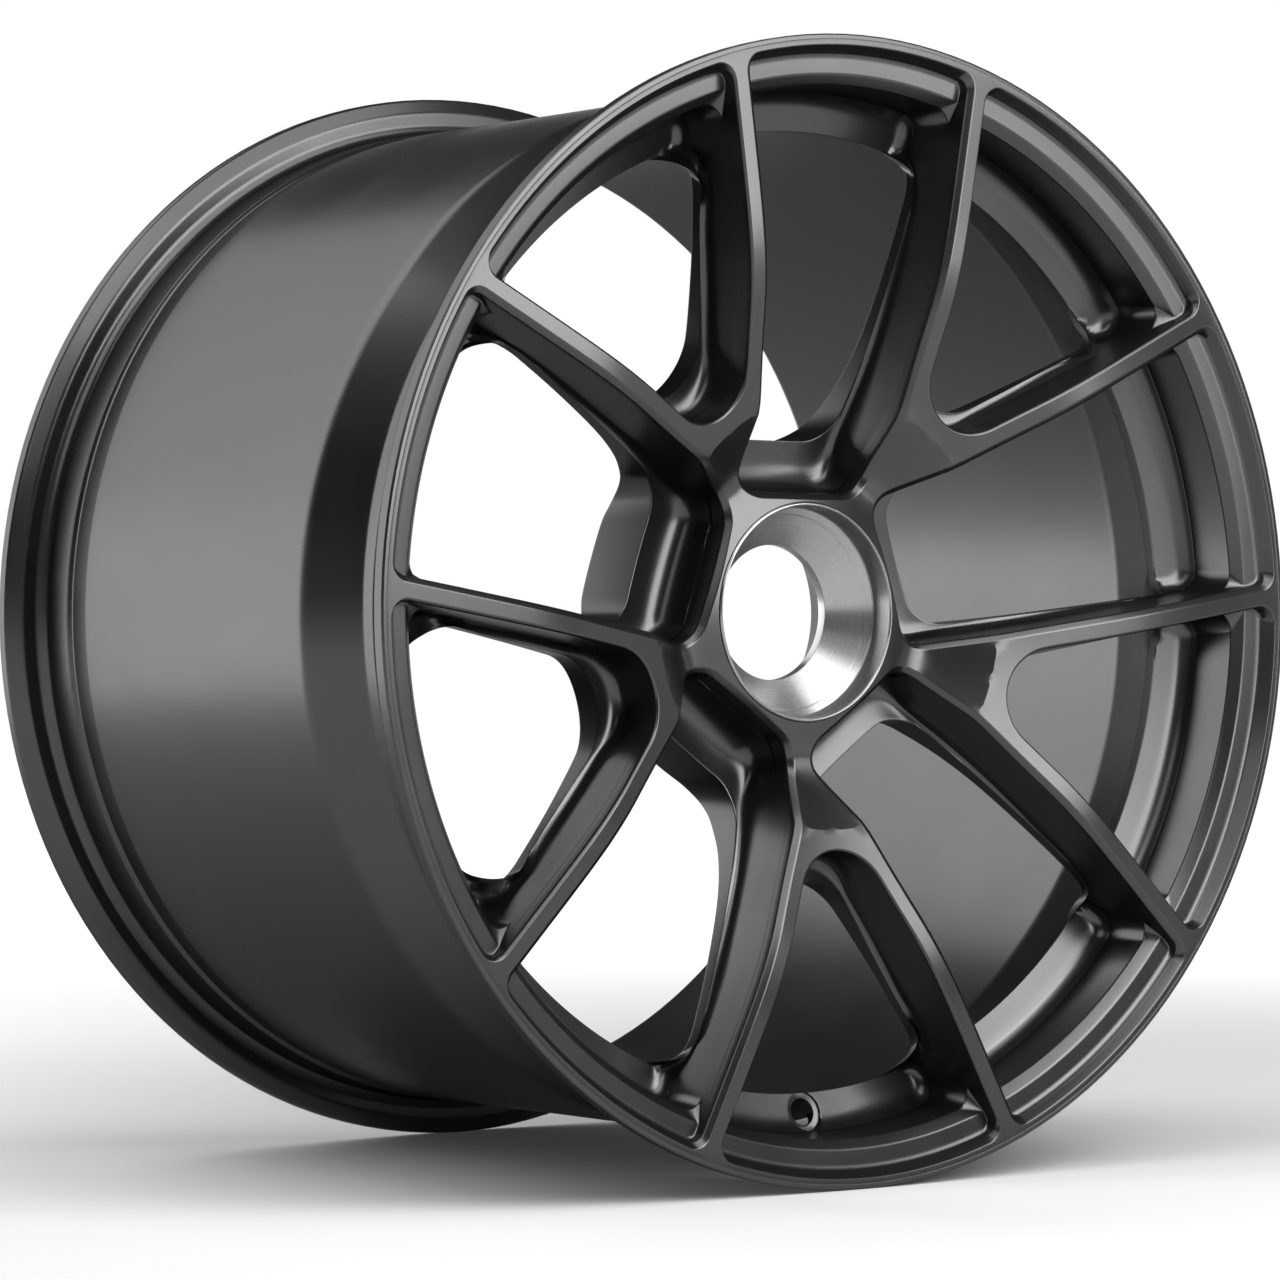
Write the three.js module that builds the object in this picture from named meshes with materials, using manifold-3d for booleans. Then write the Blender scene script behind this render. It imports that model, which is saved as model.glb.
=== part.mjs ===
import * as THREE from 'three';
import { mergeVertices } from 'three/addons/utils/BufferGeometryUtils.js';
import Module from 'manifold-3d';

// Forged centre-lock racing rim, 19 x 12 in: bead diameter by bead width. Millimetres.
// The wheel spins about +Y, its front faces -Y, and +Z is up.
// The origin is on the spin axis, midway between the two rim lips.
// "Depth" is the distance behind the plane of the front lip.

// Rim
const beadDiameter = 482.6;
const beadWidth = 304.8;
const flangeHeight = 17.5;
const flangeWidth = 11.8;
const flangeLipWidth = 7;
const flangeLipFillet = 3;
const flangeFillet = 6;
const lipRadius = 2.5;
const lipFlat = 1;
const beadSeatWidth = 20;
const beadTaperDeg = 5;
const humpHeight = 1.2;
const humpWidth = 3;
const humpFoot = 1;
const wellDrop = 14;
const wellDepth = 54;
const wellWidth = 9;
const wellFillet = 7;
const drumDrop = 1.3;
const drumDepth = 92;
const drumFillet = 20;
const barrelWall = 4.5;
const inboardRampWidth = 18;
const inboardRampRise = 0.5;
const innerEndRise = 8;
const innerEndWidth = 12;
const innerEndFillet = 10;

// Machined step, pocket and shelf inside the outboard lip
const faceDepth = 1.7;
const faceChamfer = 0.8;
const lipWidth = 7.6;
const stepWidth = 1.9;
const stepDepth = 6.4;
const stepChamfer = 1.5;
const ledgeWidth = 6.8;
const ledgeFall = 0.8;
const pocketChamfer = 5.4;
const pocketDraft = 1.5;
const pocketFillet = 12;
const shelfDepth = 41.2;
const shelfFall = 5.2;
const shelfWidth = 16.7;
const shelfThickness = 8.7;
const shelfUndercut = 3.4;

// Hub
const padOffset = 58;
const padEdge = 5.5;
const padChamfer = 3;
const pilotDiameter = 84;
const pilotDepth = 33.6;
const leadInDiameter = 108;
const leadInDepth = 20;
const hubThickness = 64.6;
const hubLand = 14;
const hubLandFillet = 6;
const hubValleyFall = 3.8;

// Centre-lock seat ring, which stands on a ledge round the pilot bore
const ringLedge = 8;
const ringProud = 1.2;
const ringWall = 1.6;
const ringEdge = 0.6;
const counterboreLength = 12.4;
const counterboreFillet = 1.5;
const coneMargin = 3.8;
const seatStep = 3.2;
const seatConeDeg = 50;
const seatBoreDiameter = 62.2;

// Drive-pin bushes in the back of the hub
const pinCircleDiameter = 130;
const bushDiameter = 19;
const bushBore = 15;
const bushLength = 22;
const bushChamfer = 1;

// Spokes: five forks, each with two straight tines
const spokeCount = 5;
const tineSlantDeg = 27.25;
const tineCrossing = 67.8;
const tineHalfWidth = 5.35;
const tineFootHalfWidth = 9.5;
const tineEndHalfWidth = 6.6;
const tineFootRadius = 125;
const tineEndMargin = 6;
const forkApexRadius = 108.4;
const forkBackApexMargin = 13.6;
const forkFloorHeight = 58.7;
const forkScoopSlope = 0.24;

// Cove between two forks
const coveWallMargin = 4;
const coveCornerFillet = 13.5;
const coveBackFillet = 15;
const coveFloorHeight = 36.7;
const coveScoopSlope = 0.33;

// The cove's back edge follows the pad's circle. It bends once on each side of the middle,
// at this share of the way from its corner.
const padRun = 0.6;

// Milling shared by both kinds of window
const scoopInset = 0.5;
const scoopFillet = 12;
const scoopEndMargin = 13;
const scoopEndFillet = 14;
const wallDepth = 14;
const windowCornerFillet = 6;
const windowCornerRun = 3;

// Front of the spokes, from the hub out: [distance outside the hub's land, share of its depth]
const spokeFaceDepth = 1.9;
const faceCurve = [
  [8, 0.973],
  [12, 0.915],
  [19, 0.776],
  [26.6, 0.638],
  [34, 0.465],
  [42, 0.389],
  [57.6, 0.318],
  [73, 0.224],
  [89, 0.085],
  [104, 0.031],
  [120, 0],
];

// Back of the spokes: [share of the way from the pad to the shelf, share of the pad's depth]
const spokeBackDepth = 35;
const backCurve = [
  [0.26, 0.4],
  [0.54, 0.162],
  [0.785, 0.056],
];
const backEndMargin = 5;
const backEndFall = 4.5;

// Valve hole, in the shelf of the lowest fork window
const valveHoleDiameter = 12.2;
const valveSpotDiameter = 18.4;
const valveSpotDepth = 1.2;
const valveReach = 13;

// Gap between neighbouring sections and around pressed-in pieces
const gap = 0.3;

// How far the blank stands proud of the pad's milled wall
const padStock = 1;

// Where the sections of the forging meet: how far from the feature that each one ends at
const hubSectionMargin = 1.5;
const hubDivideMargin = 5.8;
const forkSectionMargin = 4;
const humpSectionMargin = 2;
const drumSectionMargin = 6;

const turnedSegments = 60;
const boreSegments = 20;
const turnedArcStep = Math.PI / 5;
const milledArcStep = Math.PI / 8;
const scoopSegments = 3;
const longestCorner = 0.49;
const weld = 0.002;
const seamWeld = 1e-4;
const onMiddle = 1e-9;
const clearance = 60;

const beadRadius = beadDiameter / 2;
const rimRadius = beadRadius + flangeHeight;
const rimWidth = beadWidth + 2 * flangeWidth;
const frontY = -rimWidth / 2;
const wellRadius = beadRadius - wellDrop;
const drumRadius = beadRadius - drumDrop;
const drumInner = drumRadius - barrelWall;
const seatEnd = flangeWidth + beadSeatWidth;
const seatFall = beadSeatWidth * Math.tan(THREE.MathUtils.degToRad(beadTaperDeg));
const seatEndRadius = beadRadius - seatFall;
const wallRadius = rimRadius - lipWidth;
const ledgeOuter = wallRadius - stepWidth;
const ledgeInner = ledgeOuter - ledgeWidth;
const ledgeInnerDepth = stepDepth + ledgeFall;
const pocketOuter = ledgeInner - pocketChamfer;
const pocketInner = pocketOuter - pocketDraft;
const shelfInner = pocketInner - shelfWidth;
const shelfEndDepth = shelfDepth + shelfFall;

const bushRadius = bushDiameter / 2;
const pinCircleRadius = pinCircleDiameter / 2;
const padRadius = pinCircleRadius + bushRadius + padEdge;
const padDepth = rimWidth / 2 - padOffset;
const pilotRadius = pilotDiameter / 2;
const leadInRadius = leadInDiameter / 2;
const ringRadius = pilotRadius + ringLedge;
const ringShelfDepth = padDepth - pilotDepth;
const hubFrontDepth = padDepth - hubThickness;
const hubLandRadius = ringRadius + hubLand;
const hubValleyDepth = hubFrontDepth + hubValleyFall;

const pitch = (2 * Math.PI) / spokeCount;
const slant = THREE.MathUtils.degToRad(tineSlantDeg);
const scoopHalfWidth = tineHalfWidth + scoopInset;
const windowReach = (rimRadius + lipRadius) / Math.cos(pitch / 2);
const tineEndRadius = shelfInner + tineEndMargin;
const forkBackApexRadius = forkApexRadius + forkBackApexMargin;
const forkScoopDepth = padDepth - forkFloorHeight;
const coveInnerRadius = ringRadius + coveWallMargin;
const coveScoopDepth = padDepth - coveFloorHeight;
const scoopEndRadius = shelfInner + scoopEndMargin;

const wasm = await Module();
wasm.setup();

function toSolid(geometry) {
  geometry.deleteAttribute('normal');
  geometry.deleteAttribute('uv');
  const merged = mergeVertices(geometry, seamWeld);
  return new wasm.Manifold(new wasm.Mesh({
    numProp: 3,
    vertProperties: new Float32Array(merged.attributes.position.array),
    triVerts: new Uint32Array(merged.index.array),
  }));
}

// The solid's surface, without the hair-fine triangles that cuts leave along an edge.
function toGeometry(solid) {
  const mesh = solid.getMesh();
  const cut = new THREE.BufferGeometry();
  cut.setAttribute('position', new THREE.BufferAttribute(new Float32Array(mesh.vertProperties), 3));
  cut.setIndex(new THREE.BufferAttribute(new Uint32Array(mesh.triVerts), 1));
  const geometry = mergeVertices(cut, weld);
  const corners = geometry.index.array;
  const kept = [];
  for (let i = 0; i < corners.length; i += 3) {
    const [a, b, c] = corners.slice(i, i + 3);
    if (a !== b && b !== c && c !== a) kept.push(a, b, c);
  }
  geometry.setIndex(kept);
  geometry.computeVertexNormals();
  return geometry;
}

// Replaces each corner [x, y, radius] that has a radius with an arc tangent to both sides.
function roundCorners(corners, arcStep) {
  const points = [];
  corners.forEach(([x, y, radius], i) => {
    const corner = new THREE.Vector2(x, y);
    if (!radius) {
      points.push(corner);
      return;
    }
    const before = corners[(i + corners.length - 1) % corners.length];
    const after = corners[(i + 1) % corners.length];
    const toBefore = new THREE.Vector2(before[0] - x, before[1] - y);
    const toAfter = new THREE.Vector2(after[0] - x, after[1] - y);
    const room = longestCorner * Math.min(toBefore.length(), toAfter.length());
    toBefore.normalize();
    toAfter.normalize();
    const half = Math.acos(THREE.MathUtils.clamp(toBefore.dot(toAfter), -1, 1)) / 2;
    const run = Math.min(radius / Math.tan(half), room);
    const middle = toBefore.clone().add(toAfter).normalize();
    const centre = corner.clone().addScaledVector(middle, run / Math.cos(half));
    const start = corner.clone().addScaledVector(toBefore, run);
    const end = corner.clone().addScaledVector(toAfter, run);
    const from = start.clone().sub(centre).angle();
    let turn = end.clone().sub(centre).angle() - from;
    if (turn > Math.PI) turn -= 2 * Math.PI;
    if (turn < -Math.PI) turn += 2 * Math.PI;
    const steps = Math.ceil(Math.abs(turn) / arcStep);
    for (let k = 0; k <= steps; k += 1) {
      points.push(start.clone().rotateAround(centre, (turn * k) / steps));
    }
  });
  return points;
}

// A solid turned about the spin axis, from corners [radius, depth, fillet].
function turned(corners, segments = turnedSegments) {
  const points = roundCorners(corners, turnedArcStep);
  points.forEach((point) => {
    point.y += frontY;
  });
  if (THREE.ShapeUtils.area(points) < 0) {
    points.reverse();
  }
  points.push(points[0].clone());
  return toSolid(new THREE.LatheGeometry(points, segments));
}

// An outline in the wheel's plane, cut straight back from one depth to another.
function milled(outline, fromDepth, toDepth) {
  const shape = new THREE.Shape(roundCorners(outline, milledArcStep));
  const geometry = new THREE.ExtrudeGeometry(shape, { depth: toDepth - fromDepth, bevelEnabled: false });
  geometry.rotateX(Math.PI / 2);
  geometry.translate(0, frontY + toDepth, 0);
  return toSolid(geometry);
}

// A pocket milled with a round-nosed cutter. Its floor gets shallower away from floorRadius.
function scooped(outline, floorDepth, floorRadius, slope) {
  const shape = new THREE.Shape(roundCorners(outline, milledArcStep));
  const straight = floorDepth + clearance - 2 * scoopFillet;
  const geometry = new THREE.ExtrudeGeometry(shape, {
    depth: straight,
    bevelThickness: scoopFillet,
    bevelSize: scoopFillet,
    bevelOffset: -scoopFillet,
    bevelSegments: scoopSegments,
  });
  geometry.rotateX(Math.PI / 2);
  geometry.translate(0, frontY + floorDepth - scoopFillet, 0);
  const lean = new THREE.Matrix4();
  lean.elements[9] = -slope;
  geometry.translate(0, 0, -floorRadius);
  geometry.applyMatrix4(lean);
  geometry.translate(0, 0, floorRadius);
  return toSolid(geometry);
}

// A point beside a tine's centre line, at a given radius and distance from the line.
// side is +1 towards the fork window and -1 towards the cove.
function besideTine(radius, distance, side) {
  const half = tineCrossing * Math.cos(slant);
  const along = Math.sqrt(half * half - tineCrossing * tineCrossing + radius * radius) - half;
  return new THREE.Vector2(
    along * Math.sin(slant) - side * distance * Math.cos(slant),
    tineCrossing + along * Math.cos(slant) + side * distance * Math.sin(slant),
  );
}

// The same point seen from the middle of the cove.
function besideCove(radius, distance) {
  const point = besideTine(radius, distance, -1);
  point.x = -point.x;
  return point.rotateAround(new THREE.Vector2(0, 0), -pitch / 2);
}

// Where the line through two points, going outwards, meets a circle about the spin axis.
function meetCircle(from, to, radius) {
  const along = to.clone().sub(from).normalize();
  const b = from.dot(along);
  const run = Math.sqrt(b * b - from.lengthSq() + radius * radius) - b;
  return from.clone().addScaledVector(along, run);
}

// Ends a window's side line at the rim with a rounded corner, then runs out so far that the
// straight line across to the other side clears the rim too.
function toRim(from, to) {
  const corner = meetCircle(from, to, wallRadius);
  const turn = (windowCornerRun * windowCornerFillet) / wallRadius;
  const next = corner.clone().rotateAround(new THREE.Vector2(0, 0), turn);
  const outside = next.clone().setLength(windowReach);
  return [[corner.x, corner.y, windowCornerFillet], [next.x, next.y], [outside.x, outside.y]];
}

// Ends a scoop's side line short of the rim.
function toScoopEnd(from, to) {
  const corner = meetCircle(from, to, scoopEndRadius);
  return [[corner.x, corner.y, scoopEndFillet]];
}

// A whole outline from its right half, listed from the axis outwards.
function bothSides(half) {
  const left = half.filter(([x]) => x > onMiddle).map(([x, z, fillet]) => [-x, z, fillet]);
  return half.concat(left.reverse());
}

// The rounded inner end of a fork window whose sides pass through two points.
function forkEnd(from, to, apexRadius) {
  const along = to.clone().sub(from);
  const vertex = from.y - (from.x * along.y) / along.x;
  const sine = along.x / along.length();
  return [0, vertex, ((apexRadius - vertex) * sine) / (1 - sine)];
}

const forkWall = [tineFootRadius, tineEndRadius].map((radius) => besideTine(radius, tineHalfWidth, 1));
const forkBack = [
  besideTine(tineFootRadius, tineFootHalfWidth, 1),
  besideTine(tineEndRadius, tineEndHalfWidth, 1),
];
const forkScoop = [tineFootRadius, tineEndRadius].map((radius) => besideTine(radius, scoopHalfWidth, 1));
const coveWall = [tineFootRadius, tineEndRadius].map((radius) => besideCove(radius, tineHalfWidth));
const coveScoop = [tineFootRadius, tineEndRadius].map((radius) => besideCove(radius, scoopHalfWidth));
const coveBack = [
  besideCove(tineFootRadius, tineFootHalfWidth),
  besideCove(tineEndRadius, tineEndHalfWidth),
];

function forkWindow() {
  const apex = forkEnd(...forkWall, forkApexRadius);
  const wall = milled(bothSides([apex, ...toRim(...forkWall)]), -clearance, wallDepth);
  const scoopApex = forkEnd(...forkScoop, forkApexRadius + scoopInset);
  const scoop = scooped(
    bothSides([scoopApex, ...toScoopEnd(...forkScoop)]),
    forkScoopDepth,
    forkBackApexRadius,
    forkScoopSlope,
  );
  const through = milled(
    bothSides([forkEnd(...forkBack, forkBackApexRadius), ...toRim(...forkBack)]),
    -clearance,
    rimWidth,
  );
  return wall.add(scoop).add(through);
}

// The flat inner end of a cove window whose sides pass through two points.
function coveEnd(from, to, flat) {
  const along = to.clone().sub(from);
  const cornerX = from.x - ((from.y - flat) * along.x) / along.y;
  return [[0, flat], [cornerX, flat, coveCornerFillet]];
}

function coveWindow() {
  const foot = coveEnd(...coveWall, coveInnerRadius);
  const wall = milled(bothSides([...foot, ...toRim(...coveWall)]), -clearance, wallDepth);
  const scoopFoot = coveEnd(...coveScoop, coveInnerRadius + scoopInset);
  const scoop = scooped(
    bothSides([...scoopFoot, ...toScoopEnd(...coveScoop)]),
    coveScoopDepth,
    padRadius,
    coveScoopSlope,
  );
  const padCorner = meetCircle(...coveBack, padRadius);
  const padTurn = (padRun * padCorner.x) / padRadius;
  const padPoint = padCorner.clone().rotateAround(new THREE.Vector2(0, 0), padTurn);
  const through = milled(
    bothSides([
      [0, padRadius],
      [padPoint.x, padPoint.y],
      [padCorner.x, padCorner.y, coveBackFillet],
      ...toRim(...coveBack),
    ]),
    -clearance,
    rimWidth,
  );
  return wall.add(scoop).add(through);
}

// Turns a solid about the spin axis. Spoke 0 points straight up.
function spun(solid, angle) {
  return solid.rotate([0, THREE.MathUtils.radToDeg(angle), 0]);
}

// The disc that the spokes and the hub are milled from.
function spokeDisc() {
  const front = faceCurve.map(([run, share]) => [
    hubLandRadius + run,
    THREE.MathUtils.lerp(spokeFaceDepth, hubValleyDepth, share),
  ]);
  const back = backCurve.map(([way, share]) => [
    THREE.MathUtils.lerp(padRadius, shelfInner, way),
    THREE.MathUtils.lerp(spokeBackDepth, padDepth, share),
  ]);
  return turned([
    [ringRadius + gap, hubFrontDepth],
    [hubLandRadius, hubValleyDepth, hubLandFillet],
    ...front,
    [rimRadius, spokeFaceDepth],
    [rimRadius, shelfDepth],
    [shelfInner + shelfWidth / 2, shelfEndDepth],
    [shelfInner + backEndMargin, spokeBackDepth + backEndFall],
    [shelfInner - backEndMargin, spokeBackDepth],
    ...back.reverse(),
    [padRadius + padStock, padDepth - padChamfer],
    [padRadius + padStock - padChamfer, padDepth],
    [leadInRadius, padDepth],
    [pilotRadius, padDepth - leadInDepth],
    [pilotRadius, ringShelfDepth],
    [ringRadius + gap, ringShelfDepth],
  ]);
}

// The side of the rim that faces the spokes, from the shelf out to the lip.
function pocketSide(clear) {
  return [
    [shelfInner - clear, shelfEndDepth - clear],
    [pocketInner - clear, shelfDepth - clear, pocketFillet],
    [pocketOuter - clear, ledgeInnerDepth + pocketChamfer - clear],
    [ledgeInner - clear, ledgeInnerDepth - clear],
    [ledgeOuter - clear, stepDepth - clear],
    [wallRadius - clear, stepDepth - stepChamfer - clear],
  ];
}

// The whole rim as turned, from lip to lip and back along the inside.
function turnedRim() {
  return turned([
    [rimRadius - lipRadius - lipFlat, 0],
    [rimRadius, 0, lipRadius],
    [rimRadius, flangeLipWidth, flangeLipFillet],
    [rimRadius - flangeLipWidth, flangeWidth, flangeLipFillet],
    [beadRadius, flangeWidth, flangeFillet],
    [seatEndRadius, seatEnd],
    [seatEndRadius + humpHeight, seatEnd + humpWidth / 2],
    [seatEndRadius, seatEnd + humpWidth + humpFoot],
    [wellRadius, wellDepth, wellFillet],
    [wellRadius, wellDepth + wellWidth, wellFillet],
    [drumRadius, drumDepth, drumFillet],
    [drumRadius, rimWidth - seatEnd - inboardRampWidth],
    [seatEndRadius - inboardRampRise, rimWidth - seatEnd - humpWidth - humpFoot],
    [seatEndRadius + humpHeight, rimWidth - seatEnd - humpWidth / 2],
    [seatEndRadius, rimWidth - seatEnd],
    [beadRadius, rimWidth - flangeWidth, flangeFillet],
    [rimRadius - flangeLipWidth, rimWidth - flangeWidth, flangeLipFillet],
    [rimRadius, rimWidth - flangeLipWidth, flangeLipFillet],
    [rimRadius, rimWidth, lipRadius],
    [drumInner + innerEndRise, rimWidth, lipRadius],
    [drumInner, rimWidth - innerEndWidth, innerEndFillet],
    [drumInner, drumDepth, drumFillet],
    [shelfInner + shelfUndercut, shelfEndDepth + shelfThickness],
    ...pocketSide(0),
    [wallRadius, faceDepth + faceChamfer],
    [wallRadius + faceChamfer, faceDepth],
  ]);
}

// All that lies outside the spokes: the rim and the gap in front of it.
function outsideSpokes() {
  return turned([
    ...pocketSide(gap),
    [wallRadius - gap, -clearance],
    [rimRadius + clearance, -clearance],
    [rimRadius + clearance, rimWidth],
    [shelfInner - gap, rimWidth],
  ]);
}

// A turned ring of space, for dividing the forging into its sections.
function zone(innerRadius, outerRadius, fromDepth = -clearance, toDepth = rimWidth + clearance) {
  return turned([
    [innerRadius, fromDepth],
    [outerRadius, fromDepth],
    [outerRadius, toDepth],
    [innerRadius, toDepth],
  ]);
}

function seatRing() {
  const front = hubFrontDepth - ringProud;
  const bottom = ringShelfDepth - gap;
  const counterbore = ringRadius - ringWall;
  const coneOuter = counterbore - coneMargin;
  const coneTop = front + counterboreLength + seatStep;
  const boreRadius = seatBoreDiameter / 2;
  const coneRise = (coneOuter - boreRadius) / Math.tan(THREE.MathUtils.degToRad(seatConeDeg));
  return turned([
    [ringRadius - ringEdge, front],
    [ringRadius, front + ringEdge],
    [ringRadius, bottom],
    [boreRadius, bottom],
    [boreRadius, coneTop + coneRise],
    [coneOuter, coneTop],
    [counterbore, front + counterboreLength, counterboreFillet],
    [counterbore, front + ringEdge],
    [counterbore + ringEdge / 2, front],
  ]);
}

// A hollow bush along the spin axis, standing on the hub's back face.
function bushAt(outerRadius, boreRadius, length, chamfer) {
  const top = padDepth;
  return turned([
    [boreRadius, top - length],
    [outerRadius - chamfer, top - length],
    [outerRadius, top - length + chamfer],
    [outerRadius, top],
    [boreRadius + chamfer, top],
    [boreRadius, top - chamfer],
  ], boreSegments);
}

const coating = { color: 0x1d1d1e, roughness: 0.42, metalness: 0.35 };
const bareMetal = { color: 0xd2d3d4, roughness: 0.24, metalness: 1 };
const bushSteel = { color: 0x8d8f92, roughness: 0.35, metalness: 1 };
const rim = new THREE.Group();

function place(name, geometry, look, angle = 0) {
  const mesh = new THREE.Mesh(geometry, new THREE.MeshStandardMaterial(look));
  mesh.name = name;
  mesh.rotation.y = angle;
  rim.add(mesh);
}

// Windows stand in the local frame of a fork or a cove that points straight up.
const forkCut = forkWindow();
const coveCut = coveWindow();
const disc = spokeDisc();
const hubOuter = padRadius + hubSectionMargin;
const hubDivide = ringShelfDepth + hubDivideMargin;
const forkOuter = forkBackApexRadius + forkSectionMargin;

function spokeAngle(i) {
  return Math.PI + i * pitch;
}

// One spoke, pointing straight up, inside its fifth of the wheel.
const reach = 2 * rimRadius;
const spread = reach * Math.tan(pitch / 2);
const sector = milled([[0, 0], [spread, reach], [-spread, reach]], -clearance, rimWidth);
const rightHalf = milled([[0, 0], [spread, 0], [spread, reach], [0, reach]], -clearance, rimWidth);
const spoke = disc
  .intersect(sector)
  .subtract(forkCut)
  .subtract(spun(coveCut, pitch / 2))
  .subtract(spun(coveCut, -pitch / 2));
const fork = spoke.intersect(zone(hubOuter + gap, forkOuter));
const tines = spoke.intersect(zone(forkOuter + gap, rimRadius)).subtract(outsideSpokes());
const rightTine = tines.intersect(rightHalf);
const leftTine = tines.subtract(rightHalf);

// The hub is everything inside the forks, with a pocket for each bush.
const pocketRadius = bushRadius + gap;
const bushPocket = toSolid(
  new THREE.CylinderGeometry(pocketRadius, pocketRadius, 2 * (bushLength + gap), boreSegments),
).translate([0, frontY + padDepth, pinCircleRadius]);
let hub = disc.intersect(zone(0, hubOuter));
for (let i = 0; i < spokeCount; i += 1) {
  hub = hub
    .subtract(spun(coveCut, spokeAngle(i) + pitch / 2))
    .subtract(spun(bushPocket, spokeAngle(i)));
}

// The valve hole runs square to the sloping shelf, in the middle of the lowest fork window.
const shelfSlope = Math.atan2(shelfFall, shelfWidth);
const valveRadius = shelfInner + shelfWidth / 2;
const valveDepth = (shelfDepth + shelfEndDepth) / 2;
function valveCutter(diameter, depth) {
  const cutter = new THREE.CylinderGeometry(diameter / 2, diameter / 2, 2 * depth, boreSegments);
  cutter.rotateX(shelfSlope);
  cutter.translate(0, frontY + valveDepth, valveRadius);
  return spun(toSolid(cutter), Math.PI);
}
const wholeRim = turnedRim()
  .subtract(valveCutter(valveHoleDiameter, valveReach))
  .subtract(valveCutter(valveSpotDiameter, valveSpotDepth));

// A fifth of the wheel round one fork, with the gap to the next fifth taken off both sides.
const sectorApex = gap / 2 / Math.sin(pitch / 2);
const shelfSector = milled([
  [0, sectorApex],
  [spread, reach + sectorApex],
  [-spread, reach + sectorApex],
], -clearance, rimWidth);

// The rim's sections, from the front to the back: [name, depth where it ends].
// The shelf is divided once more, between the forks.
const rimSections = [
  ['outboard_flange', flangeWidth + flangeFillet],
  ['outboard_bead_seat', seatEnd + humpWidth + humpSectionMargin],
  ['spoke_shelf', wellDepth + wellWidth / 2],
  ['drop_centre', drumDepth + drumSectionMargin],
  ['barrel_drum', rimWidth - seatEnd - inboardRampWidth - drumSectionMargin],
  ['inboard_bead_seat', rimWidth - flangeWidth - flangeFillet],
  ['inboard_flange', rimWidth + clearance],
];
let sectionStart = -clearance;
rimSections.forEach(([name, sectionEnd]) => {
  const section = wholeRim.intersect(zone(0, rimRadius + clearance, sectionStart, sectionEnd));
  sectionStart = sectionEnd + gap;
  if (name !== 'spoke_shelf') {
    place(name, toGeometry(section), coating);
    return;
  }
  for (let i = 0; i < spokeCount; i += 1) {
    place(`${name}_${i + 1}`, toGeometry(section.intersect(spun(shelfSector, spokeAngle(i)))), coating);
  }
});

place('hub_front', toGeometry(hub.intersect(zone(0, hubOuter + gap, -clearance, hubDivide))), coating);
place('hub_pad', toGeometry(hub.intersect(zone(0, hubOuter + gap, hubDivide + gap, rimWidth))), coating);
place('seat_ring', toGeometry(seatRing()), bareMetal);

const forkShape = toGeometry(fork);
const rightShape = toGeometry(rightTine);
const leftShape = toGeometry(leftTine);
const bushShape = toGeometry(bushAt(bushRadius, bushBore / 2, bushLength, bushChamfer)
  .translate([0, 0, pinCircleRadius]));
for (let i = 0; i < spokeCount; i += 1) {
  const number = i + 1;
  place(`fork_${number}`, forkShape, coating, spokeAngle(i));
  place(`tine_${number}_left`, leftShape, coating, spokeAngle(i));
  place(`tine_${number}_right`, rightShape, coating, spokeAngle(i));
  place(`drive_bush_${number}`, bushShape, bushSteel, spokeAngle(i));
}

export default rim;
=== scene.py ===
import math

import bmesh
import bpy
import numpy as np
from mathutils import Matrix, Vector
from mathutils.geometry import delaunay_2d_cdt


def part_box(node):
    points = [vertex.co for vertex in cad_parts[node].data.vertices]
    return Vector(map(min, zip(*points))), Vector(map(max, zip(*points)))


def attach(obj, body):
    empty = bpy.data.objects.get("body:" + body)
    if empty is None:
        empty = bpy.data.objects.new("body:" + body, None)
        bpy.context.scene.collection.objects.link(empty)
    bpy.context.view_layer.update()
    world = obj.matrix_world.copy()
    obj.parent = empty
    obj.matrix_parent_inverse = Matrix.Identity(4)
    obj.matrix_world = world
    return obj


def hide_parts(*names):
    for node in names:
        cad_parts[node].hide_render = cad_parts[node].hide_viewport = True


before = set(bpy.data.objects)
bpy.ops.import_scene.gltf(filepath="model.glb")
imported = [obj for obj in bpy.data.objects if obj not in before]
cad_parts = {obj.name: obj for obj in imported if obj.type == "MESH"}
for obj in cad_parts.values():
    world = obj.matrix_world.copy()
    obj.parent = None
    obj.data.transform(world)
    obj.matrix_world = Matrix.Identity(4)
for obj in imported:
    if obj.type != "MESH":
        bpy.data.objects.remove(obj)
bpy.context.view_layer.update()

mm = 0.001
body = "root"
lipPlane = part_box("outboard_flange")[0].y / mm      # depths count back from the front lip
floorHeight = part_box("outboard_flange")[0].z        # the wheel stands on its two flanges
seatNode = "seat_ring"
bushNodes = sorted(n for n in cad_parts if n.startswith("drive_bush"))
coatNodes = sorted(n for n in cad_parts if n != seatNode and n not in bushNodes)
forkCount = 5
halfPitch = math.pi / forkCount

# Every size below is in millimetres. Curves and profiles are lists of (radius, depth[, fillet]).
rim = {
    "fillRadius": 256.0,          # where the lip's slope takes over from the spokes' faces
    "backRadius": 224.5,          # where the barrel takes over from the spokes' backs
    "arcSteps": 15,               # steps of a turned surface in half a fork's sector
    "barrel": [
        (256.0, 0.2, 0), (256.6, 0.0, 0.4), (258.8, 0.0, 1.2),
        (258.8, 7.0, 3), (251.8, 11.8, 5), (241.3, 11.8, 6), (239.55, 31.8, 1),
        (240.75, 33.3, 1), (239.55, 35.8, 2), (227.3, 54.0, 7), (227.3, 63.0, 7),
        (240.0, 92.0, 20), (240.0, 278.6, 8), (239.05, 292.6, 3), (240.75, 295.1, 1.2),
        (239.55, 296.6, 1), (241.3, 316.6, 6), (251.8, 316.6, 5), (258.8, 321.4, 3),
        (258.8, 328.4, 2.5), (243.5, 328.4, 2.0), (235.5, 316.4, 10), (235.5, 92.0, 20),
        (224.5, 61.25, 0),
    ],
}
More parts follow.
